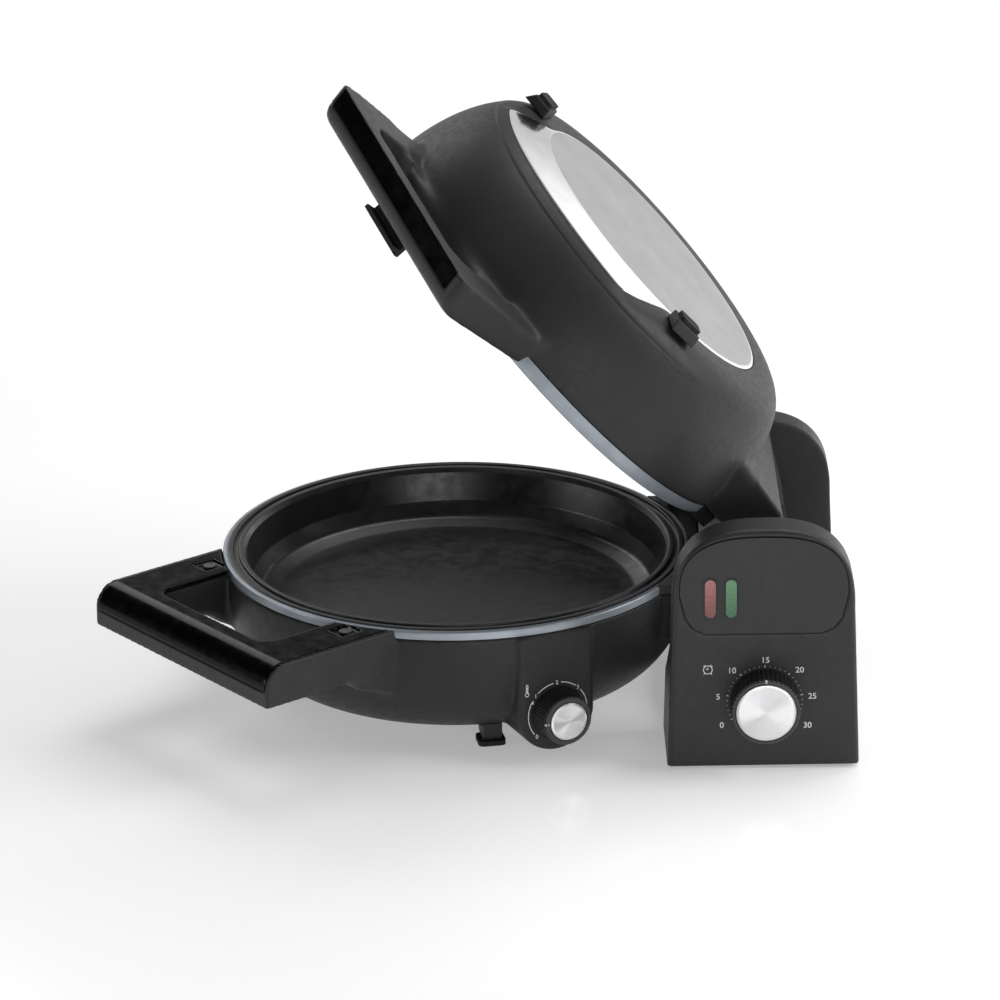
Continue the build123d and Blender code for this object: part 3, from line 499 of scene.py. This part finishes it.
def sink_top(o):
    """Lowers the moulded dome under the steel disc and the raised rim round it."""
    me = o.data
    co = np.empty(len(me.vertices) * 3); me.vertices.foreach_get("co", co); co = co.reshape(-1, 3)
    q = co * 1000 - np.array(SHIFT)
    t = radians(OPEN)
    dx, dz = q[:, 0] - X_H, q[:, 2] - Z_H
    x, z = X_H + dx * cos(t) - dz * sin(t), Z_H + dx * sin(t) + dz * cos(t)
    r = np.hypot(x, q[:, 1])
    lim = np.where(r < RIM_R - 0.5, top_height(x, q[:, 1]) - 0.7, dome_z(r))
    z = np.where((r < 134.0) & (z > lim) & (z > 40.0), lim, z)
    dx, dz = x - X_H, z - Z_H
    q[:, 0], q[:, 2] = X_H + dx * cos(t) + dz * sin(t), Z_H - dx * sin(t) + dz * cos(t)
    co = (q + np.array(SHIFT)) / 1000
    me.vertices.foreach_set("co", co.ravel())
    me.update()


def put(o, body, *nodes, slot=None):
    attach(o, body)
    if nodes:
        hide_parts(*nodes)
    return o


# ------------------------------------------------------------------ moulded shells
ITS = 50
put(soften("bowl_shell", "bowl_shell_moulded", GREY, 1.1, 5, extra=lambda o: relax(o, bowl_weight, ITS)), "bowl", "bowl_shell", slot="grey_shell")
put(soften("lid_shell", "lid_shell_moulded", GREY, 1.1, 5, extra=lambda o: (sink_top(o), relax(o, lid_weight, ITS))), "lid", "lid_shell", slot="grey_shell")
put(soften("bowl_handle_cover", "bowl_handle_cover_moulded", GLOSS, 0.7, 4), "bowl", "bowl_handle_cover", slot="gloss_black")
put(soften("lid_hinge_bracket", "lid_hinge_bracket_cast", DARKSTEEL, 0.9, 3), "lid", "lid_hinge_bracket", slot="cast_aluminium")
put(soften("bowl_hinge_bracket", "bowl_hinge_bracket_cast", DARKSTEEL, 0.9, 3), "bowl", "bowl_hinge_bracket", slot="cast_aluminium")
put(soften("lid_feet", "lid_feet_moulded", GREY, 0.6, 3), "lid", "lid_feet", slot="grey_shell")
put(soften("bowl_feet", "bowl_feet_moulded", GREY, 0.6, 3), "bowl", "bowl_feet", slot="grey_shell")
put(soften("front_post", "front_post_moulded", POSTM, 0.9, 4), "stand", "front_post", slot="grey_shell")
put(soften("rear_post", "rear_post_moulded", POSTM, 0.9, 4), "stand", "rear_post", slot="grey_shell")


# ------------------------------------------------------------------ pans
def pan_profile(s, depth):
    pts = [(0, s * depth), (106, s * depth), (116, s * (depth - 3)), (121, s * (depth - 12)),
           (R_MOUTH - 0.6, s * 3.2), (R_MOUTH + 1.4, s * 0.4), (R_RIM - 6.4, s * 0.4), (R_RIM - 6.0, s * 2.2),
           (R_RIM - 3.6, s * 2.2), (R_RIM - 3.2, s * 0.4), (R_RIM - 0.6, s * 0.4), (R_RIM, s * 0.9)]
    rad = [0, 9, 5, 5, 1.2, 0.8, 0.4, 0.5, 0.5, 0.4, 0.3, 0]
    top = rounded_profile(pts, rad, 5)
    if s < 0:
        side = [(R_RIM + 0.4, s * 1.1), (R_RIM + 0.9, s * 1.0), (R_FL + 0.1, s * 1.5), (R_FL + 0.45, s * 2.0), (R_FL + 0.5, s * 2.8), (R_FL + 0.5, s * Z_RING)]
        ring = Z_RING
    else:
        side = [(R_RIM + 0.4, s * 0.9), (R_RIM + 0.9, s * 1.0), (R_RIM + 1.3, s * 1.5), (R_RIM + 1.4, s * 3.0), (R_RIM + 1.6, s * 3.3), (R_FL + 0.3, s * 3.5), (R_FL + 0.5, s * 3.9), (R_FL + 0.5, s * LID_RING)]
        ring = LID_RING
    side += [(R_MOUTH + 4, s * ring), (R_MOUTH + 2, s * (ring + 2)), (124.2, s * (depth - 11)), (118.5, s * (depth - 1.8)), (109, s * (depth + PAN_T)), (0, s * (depth + PAN_T))]
    return top, side


def make_pan(name, s, depth, matrix, body, node):
    top, side = pan_profile(s, depth)
    prof = top + side
    cut = len(top) - 1

    def idx(p, q):
        return 1 if (p[0] >= R_RIM + 0.35 and q[0] > R_MOUTH + 5) else 0
    o = lathe(name, prof, [COAT, RING], None, 256, idx, 35.0)
    # tongue over the hinge block
    z0, z1 = s * 0.4, s * (Z_RING if s < 0 else LID_RING)
    verts, faces = [], []
    k = 24
    y_e = BLOCK_W - 1.5
    rows = []
    for i in range(k + 1):
        y = -y_e + 2 * y_e * i / k
        xi = sqrt((R_FL - 0.8) ** 2 - y * y)
        rows.append((xi, y))
    x_out = 128.0
    for xi, y in rows:
        xo = max(x_out, xi + 0.2)
        verts += [(xi, y, z0), (xo, y, z0), (xo, y, z1), (xi, y, z1)]
    for i in range(k):
        a, b = 4 * i, 4 * (i + 1)
        faces += [(a, a + 1, b + 1, b), (a + 1, a + 2, b + 2, b + 1), (a + 2, a + 3, b + 3, b + 2)]
    faces += [(0, 3, 2, 1), (4 * k, 4 * k + 1, 4 * k + 2, 4 * k + 3)]
    t = add(name + "_tongue", verts, faces, [COAT], None, 30.0)
    fix_normals(o); fix_normals(t)
    for q in (o, t):
        q.data.transform(matrix)
    put(o, body, node, slot="coated_pan")
    put(t, body, slot="coated_pan")
    return o


make_pan("bowl_pan_cast", -1, BOWL_PAN_D, TO_ROW, "bowl", "bowl_pan")
make_pan("lid_pan_cast", 1, LID_PAN_D, TO_ROW @ OPEN_LID, "lid", "lid_pan")

# ------------------------------------------------------------------ steel disc of the lid and the rim of the dome round it
def turned_strips(name, rows, mats, index, body, node, angle):
    """Rows of points (functions of the polar angle) joined into one skin about the lid's axis."""
    n = 288
    verts, faces, idx = [], [], []
    for j, row in enumerate(rows):
        for k in range(n):
            r, z = row(2 * pi * k / n)
            a = 2 * pi * k / n
            verts.append((r * cos(a), r * sin(a), z))
    for j in range(len(rows) - 1):
        for k in range(n):
            k2 = (k + 1) % n
            faces.append((j * n + k, j * n + k2, (j + 1) * n + k2, (j + 1) * n + k)); idx.append(index(j))
    if node:
        c = len(verts)
        verts.append((0, 0, FLAT_Z + 0.05))
        for k in range(n):
            faces.append((c, k, (k + 1) % n)); idx.append(0)
    o = add(name, verts, faces, mats, None, angle, idx)
    fix_normals(o)
    o.data.transform(TO_ROW @ OPEN_LID)
    c = (TO_ROW @ OPEN_LID) @ Vector((0, 0, 76))
    recentre(o, c)
    o.data.transform(Matrix.Rotation(radians(OPEN), 4, "Y").inverted())
    o.rotation_euler = (0, radians(OPEN), 0)
    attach(o, body)
    if node:
        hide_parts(node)
    return o


def edge(f):
    return lambda a: f(*[float(v) for v in band_edge(np.array(a))])


disc_rows = [edge(lambda r, z, w: (40.0, FLAT_Z + 0.04)), edge(lambda r, z, w: (FLAT_R - 1.6, FLAT_Z)), edge(lambda r, z, w: (FLAT_R - 0.4, FLAT_Z - 0.04)), edge(lambda r, z, w: (FLAT_R + 0.5, FLAT_Z - 0.13))]
for t in (0.15, 0.35, 0.6, 0.85):
    disc_rows.append(edge(lambda r, z, w, t=t: (FLAT_R + 0.5 + (r - 0.5 - FLAT_R - 0.5) * t, FLAT_Z - 0.13 + (z + 0.13 - FLAT_Z) * t + 0.25 * t * (1 - t))))
disc_rows += [edge(lambda r, z, w: (r - 0.5, z - 0.02)), edge(lambda r, z, w: (r - 0.15, z - 0.2)), edge(lambda r, z, w: (r - 0.1, z - 1.4))]
turned_strips("lid_disc_turned", disc_rows, [DISC, BAND], lambda j: 1 if j >= 2 else 0, "lid", "lid_disc", 60.0)


def rim_row(t):
    def f(a):
        rb, zb, w = [float(v) for v in band_edge(np.array(a))]
        r = rb + 0.9 + (RIM_R - rb - 0.9) * t
        return r, float(top_height(np.array(r * cos(a)), np.array(r * sin(a))))
    return f


rim_rows = [edge(lambda r, z, w: (r + 0.35, z - 1.6)), edge(lambda r, z, w: (r + 0.35, z - 0.35)), edge(lambda r, z, w: (r + 0.5, z - 0.1))]
rim_rows += [rim_row(t) for t in (0.0, 0.06, 0.14, 0.24, 0.35, 0.47, 0.6, 0.73, 0.85, 0.94, 1.0)]
rim_rows += [lambda a: (RIM_R + 0.7, float(dome_z(np.array(RIM_R + 0.7))) - 0.7)]
turned_strips("lid_rim_moulded", rim_rows, [GREY], lambda j: 0, "lid", None, 60.0)


# ------------------------------------------------------------------ knobs
def knob(prefix, centre, out, up, r_body, r_rim, h_body, h_all, r_cap, ribs, body, nodes, pointer=0.0):
    """A turned knob: smooth skirt, ribbed rim, turned metal cap with a notch at the pointer."""
    out = Vector(out).normalized(); up = Vector(up).normalized()
    side = up.cross(out)
    base = Matrix((side, up, out)).transposed().to_4x4()
    mw = Matrix.Translation(M(*centre)) @ base @ Matrix.Scale(0.001, 4)
    # ribbed body: each rib rounded
    n = ribs * 8
    levels = [(0.6, r_body - 0.6, 0.3), (1.0, r_body, 0.9), (h_body - 1.6, r_rim - 0.9, 0.9), (h_body - 0.6, r_rim - 1.0, 0.7), (h_body, r_rim - 0.45, 0.8),
              (h_body + 0.4, r_rim, 1.0), (h_all - 0.7, r_rim, 1.0), (h_all - 0.25, r_rim - 0.35, 0.8), (h_all, r_rim - 0.9, 0.3), (h_all, r_cap + 0.5, 0.0), (h_all - 0.5, r_cap + 0.3, 0.0), (h_all - 0.5, 0.0, 0.0)]
    verts, faces = [], []
    rings = []
    for z, r, amp in levels:
        if r < 1e-6:
            rings.append([len(verts)] * n); verts.append((0, 0, z)); continue
        ids = []
        for k in range(n):
            a = 2 * pi * k / n
            w = abs(sin(ribs * a / 2)) ** 0.55
            rr = r - amp * 0.62 * (1 - w)
            ids.append(len(verts)); verts.append((rr * cos(a), rr * sin(a), z))
        rings.append(ids)
    lv = []
    for A, B in zip(rings, rings[1:]):
        lv.append(len(faces))
        for k in range(n):
            k2 = (k + 1) % n
            f = [A[k], A[k2], B[k2], B[k]]
            f = [v for j, v in enumerate(f) if v != f[j - 1]]
            if len(set(f)) >= 3:
                faces.append(f)
    # closed underside
    faces.append(list(reversed(rings[0])))
    kb = add(prefix + "_ribbed", verts, faces, [KNOBM, RIMM], None, 50.0, [1 if i >= lv[3] else 0 for i in range(len(faces))])
    fix_normals(kb)
    kb.matrix_world = mw
    put(kb, body, nodes[0], slot="knob_dark")
    cap_prof = rounded_profile([(0, h_all + 0.85), (r_cap - 1.6, h_all + 0.75), (r_cap - 0.3, h_all + 0.45), (r_cap, h_all - 0.4)], [0, 1.0, 0.4, 0], 5)
    cp = lathe(prefix + "_cap", cap_prof, [CAPM], None, 128, None, 40.0)
    fix_normals(cp)
    cp.matrix_world = mw
    put(cp, body, nodes[1], slot="knob_cap")
    # pointer: small white notch on the rim
    a = radians(90.0 - pointer)
    w, r0, r1 = 0.55, r_cap + 0.7, r_rim - 0.5
    t = Vector((-sin(a), cos(a), 0)); rad = Vector((cos(a), sin(a), 0))
    vs = [rad * r0 - t * w + Vector((0, 0, h_all + 0.04)), rad * r0 + t * w + Vector((0, 0, h_all + 0.04)), rad * r1 + t * w + Vector((0, 0, h_all - 0.1)), rad * r1 - t * w + Vector((0, 0, h_all - 0.1)),
          rad * (r_rim + 0.05) + t * w + Vector((0, 0, h_all - 0.9)), rad * (r_rim + 0.05) - t * w + Vector((0, 0, h_all - 0.9))]
    pt = add(prefix + "_pointer", vs, [(0, 3, 2, 1), (3, 5, 4, 2)], [WHITE], None, 0)
    pt.matrix_world = mw
    put(pt, body, slot="knob_cap")


knob("timer", (TIMER_X, FRONT, TIMER_Z), (0, -1, 0), (0, 0, 1), 20.0, 19.8, 14.4, 17.2, 17.4, 44, "timer_knob", ("timer_knob", "timer_knob_cap"))
ta = radians(THERM_A)
knob("thermostat", (THERM_R * cos(ta), THERM_R * sin(ta), THERM_Z), (cos(ta), sin(ta), 0), (0, 0, 1), 16.4, 14.8, 12.4, 15.0, 11.6, 56, "thermostat_knob", ("thermostat_knob", "thermostat_knob_cap"), pointer=-90.0)


# ------------------------------------------------------------------ dial prints
def text(name, s, size, centre, out, up, body, lift=0.05):
    cu = bpy.data.curves.new(name, "FONT")
    cu.body = s
    cu.size = size
    cu.align_x = "CENTER"; cu.align_y = "CENTER"
    cu.extrude = 0.02
    cu.offset = 0.05
    o = bpy.data.objects.new(name, cu)
    bpy.context.scene.collection.objects.link(o)
    dg = bpy.context.evaluated_depsgraph_get(); dg.update()
    me = bpy.data.meshes.new_from_object(o.evaluated_get(dg))
    bpy.data.objects.remove(o)
    q = bpy.data.objects.new(name, me)
    bpy.context.scene.collection.objects.link(q)
    out = Vector(out).normalized(); up = Vector(up).normalized(); side = up.cross(out)
    base = Matrix((side, up, out)).transposed().to_4x4()
    me.transform(Matrix.Translation(M(*centre) + out * lift / 1000) @ base @ Matrix.Scale(0.001, 4))
    me.materials.clear(); me.materials.append(WHITE)
    put(q, body, slot="knob_cap")
    return q


NUMS = {"0": (151.0, -57.3), "5": (148.8, -39.6), "10": (156.7, -23.4), "15": (175.9, -17.2), "20": (195.6, -23.5), "25": (203.0, -39.9), "30": (200.3, -58.0)}
for s, (x, z) in NUMS.items():
    text("dial_number_" + s, s, 5.0, (x, FRONT, z), (0, -1, 0), (0, 0, 1), "stand")


def strokes(name, quads, centre, out, up, body, lift=0.05, mat=None):
    """Flat printed shapes given as polygons in the plane of the face."""
    verts, faces = [], []
    for q in quads:
        faces.append(list(range(len(verts), len(verts) + len(q))))
        verts += [(x, y, 0) for x, y in q]
    out = Vector(out).normalized(); up = Vector(up).normalized(); side = up.cross(out)
    base = Matrix((side, up, out)).transposed().to_4x4()
    o = add(name, verts, faces, [mat or WHITE], Matrix.Translation(M(*centre) + out * lift / 1000) @ base @ Matrix.Scale(0.001, 4), 0)
    put(o, body, slot="knob_cap")
    return o


def ring_quads(cx, cy, r, w, n=32, a0=0, a1=360):
    q = []
    for k in range(n):
        a, b = radians(a0 + (a1 - a0) * k / n), radians(a0 + (a1 - a0) * (k + 1) / n)
        q.append([(cx + (r - w / 2) * cos(a), cy + (r - w / 2) * sin(a)), (cx + (r + w / 2) * cos(a), cy + (r + w / 2) * sin(a)),
                  (cx + (r + w / 2) * cos(b), cy + (r + w / 2) * sin(b)), (cx + (r - w / 2) * cos(b), cy + (r - w / 2) * sin(b))])
    return q


def bar(x0, y0, x1, y1, w):
    d = Vector((x1 - x0, y1 - y0)).normalized() * w / 2
    n = (-d.y, d.x)
    return [(x0 + n[0], y0 + n[1]), (x0 - n[0], y0 - n[1]), (x1 - n[0], y1 - n[1]), (x1 + n[0], y1 + n[1])]


ticks = []
for k in range(31):
    a = radians(90 + 120 - 8 * k)
    big = k % 5 == 0
    r0, r1 = (21.0, 22.3) if big else (21.4, 21.85)
    ticks.append(bar(r0 * cos(a), r0 * sin(a), r1 * cos(a), r1 * sin(a), 0.45 if big else 0.4))
strokes("dial_ticks", ticks, (TIMER_X, FRONT, TIMER_Z), (0, -1, 0), (0, 0, 1), "stand")
clock = ring_quads(0, 0, 2.5, 0.45) + [bar(0, 0, 0, 1.5, 0.4), bar(0, 0, -1.1, 0.5, 0.4), bar(-2.6, 1.9, -1.5, 3.0, 0.5), bar(2.6, 1.9, 1.5, 3.0, 0.5), bar(-1.7, -2.0, -2.3, -2.9, 0.45), bar(1.7, -2.0, 2.3, -2.9, 0.45)]
strokes("dial_clock_icon", clock, (142.9, FRONT, -22.6), (0, -1, 0), (0, 0, 1), "stand")

# thermostat dial: arc with plain numbers, a triangle and a thermometer sign
t_out, t_c = (cos(ta), sin(ta), 0), (THERM_R * cos(ta), THERM_R * sin(ta), THERM_Z)
RA = 18.7
arcs = []
for a0, a1 in ((-127, -66), (-42, -8), (7, 38), (51, 112)):
    arcs += ring_quads(0, 0, RA, 0.55, 18, 90 - a0, 90 - a1)
arcs.append([(RA * sin(radians(-62)) - 1.0, RA * cos(radians(-62)) - 1.0), (RA * sin(radians(-62)) + 1.2, RA * cos(radians(-62)) - 0.9), (RA * sin(radians(-62)) + 1.0, RA * cos(radians(-62)) + 1.5)])
arcs += ring_quads(-19.4, 14.4, 1.15, 0.5, 20) + [bar(-19.9, 15.4, -19.9, 20.4, 0.4), bar(-18.9, 15.4, -18.9, 20.4, 0.4), bar(-20.0, 20.4, -18.8, 20.4, 0.4), bar(-19.4, 15.0, -19.4, 18.8, 0.35)]
strokes("thermostat_arc", arcs, t_c, t_out, (0, 0, 1), "bowl")
side_v = Vector((0, 0, 1)).cross(Vector(t_out))
for s_, ang in (("0", -134), ("1", -48), ("2", -1), ("3", 44)):
    q = Vector(t_c) + side_v * (RA * sin(radians(ang))) + Vector((0, 0, RA * cos(radians(ang))))
    text("thermostat_number_" + s_, s_, 3.4, tuple(q), t_out, (0, 0, 1), "bowl")

# ------------------------------------------------------------------ light, floor, camera
CEILING = 0.8
scene = bpy.context.scene
scene.view_settings.view_transform = "Standard"
scene.view_settings.look = "None"
world = bpy.data.worlds.new("studio")
scene.world = world
world.use_nodes = True
wt = world.node_tree
bg = wt.nodes["Background"]
bg.inputs["Strength"].default_value = 1.0


def wnode(kind, **kw):
    n = wt.nodes.new(kind)
    for k, v in kw.items():
        setattr(n, k, v)
    return n


def wmap(src, a, b, lo, hi, kind="SMOOTHSTEP"):
    n = wnode("ShaderNodeMapRange", interpolation_type=kind)
    for k, v in (("From Min", a), ("From Max", b), ("To Min", lo), ("To Max", hi)):
        n.inputs[k].default_value = v
    wt.links.new(src, n.inputs["Value"])
    return n.outputs["Result"]


def wmath(op, a, b):
    n = wnode("ShaderNodeMath", operation=op)
    for i, v in enumerate((a, b)):
        if isinstance(v, (int, float)):
            n.inputs[i].default_value = v
        else:
            wt.links.new(v, n.inputs[i])
    return n.outputs[0]


# studio: bright ceiling, dark walls, a white screen low behind the object
wsep = wnode("ShaderNodeSeparateXYZ")
wt.links.new(wnode("ShaderNodeTexCoord").outputs["Generated"], wsep.inputs[0])
wx, wy, wz = wsep.outputs
ceiling = wmath("MULTIPLY", wmap(wz, 0.55, 0.85, 0.03, CEILING), wmap(wx, -0.4, 0.5, 0.12, 1.2))
screen = wmath("MULTIPLY", wmath("MULTIPLY", wmap(wz, 0.26, 0.42, 1.0, 0.0), wmap(wy, 0.3, 0.6, 0.0, 1.0)), wmap(wx, 0.3, 0.62, 0.6, 1.5))
ceiling = wmath("MULTIPLY", ceiling, wmap(wy, -0.35, 0.35, 0.08, 1.0))
total = wmath("ADD", ceiling, screen)
wt.links.new(total, bg.inputs["Color"])


def area(name, loc, target, size, power, sy=None):
    li = bpy.data.lights.new(name, "AREA")
    li.shape = "RECTANGLE"
    li.size = size
    li.size_y = sy or size
    li.energy = power
    o = bpy.data.objects.new(name, li)
    scene.collection.objects.link(o)
    o.location = loc
    o.rotation_euler = (Vector(target) - Vector(loc)).to_track_quat("-Z", "Y").to_euler()
    return o


area("key", (-0.7, -0.6, 2.0), (0.0, 0.0, 0.1), 1.3, 3)
area("top", (0.6, 0.7, 2.0), (0.05, 0.05, 0.1), 1.4, 17)
area("behind", (-1.2, 2.6, 1.6), (-0.6, 2.2, 0.0), 1.6, 20)
area("front", (0.5, -2.6, 0.5), (0.0, 0.0, 0.05), 1.6, 13, 0.6)
area("left", (-2.3, -0.5, 0.45), (0.0, 0.0, 0.1), 1.2, 10, 0.6)
area("right", (2.0, -0.3, 1.1), (0.1, 0.0, 0.15), 1.2, 30)

fv, ff = [], []
S = 12.0
fv = [(-S, -S, -0.0002), (S, -S, -0.0002), (S, S, -0.0002), (-S, S, -0.0002)]
me = bpy.data.meshes.new("floor")
me.from_pydata(fv, [], [(0, 1, 2, 3)])
floor = bpy.data.objects.new("floor", me)
scene.collection.objects.link(floor)
fm = Mat("floor_pale")
fm.link(fm.colour(fm.noise(3.0, 2.0), (0.86, 0.86, 0.865), (0.88, 0.88, 0.885)), fm.b.inputs["Base Color"])
fm.b.inputs["Roughness"].default_value = 0.11
fm.b.inputs["Specular IOR Level"].default_value = 0.3
fm.b.inputs["Emission Color"].default_value = (1.0, 1.0, 1.0, 1.0)
fm.b.inputs["Emission Strength"].default_value = 0.33
me.materials.append(fm.m)

# camera at the photograph's viewing angle
F, E, PSI, RHO, TX, TY, D = 6186.53, 21.18, -0.59, -0.63, -26.09, -24.97, 3674.34
e, ps, rh = radians(E), radians(PSI), radians(RHO)
fwd = Vector((-sin(ps) * cos(e), cos(ps) * cos(e), -sin(e)))
right = Vector((cos(ps), sin(ps), 0))
up = right.cross(fwd)
r2 = right * cos(rh) + up * sin(rh)
u2 = -right * sin(rh) + up * cos(rh)
pos = -(r2 * TX + u2 * TY + fwd * D)
cam = bpy.data.cameras.new("camera")
cam.sensor_width = 36.0
cam.lens = F / 1000 * 36.0
cam.clip_start = 0.1
cam.clip_end = 50
co = bpy.data.objects.new("camera", cam)
scene.collection.objects.link(co)
rot = Matrix((r2, u2, -fwd)).transposed().to_4x4()
co.matrix_world = Matrix.Translation(M(*pos)) @ rot
scene.camera = co
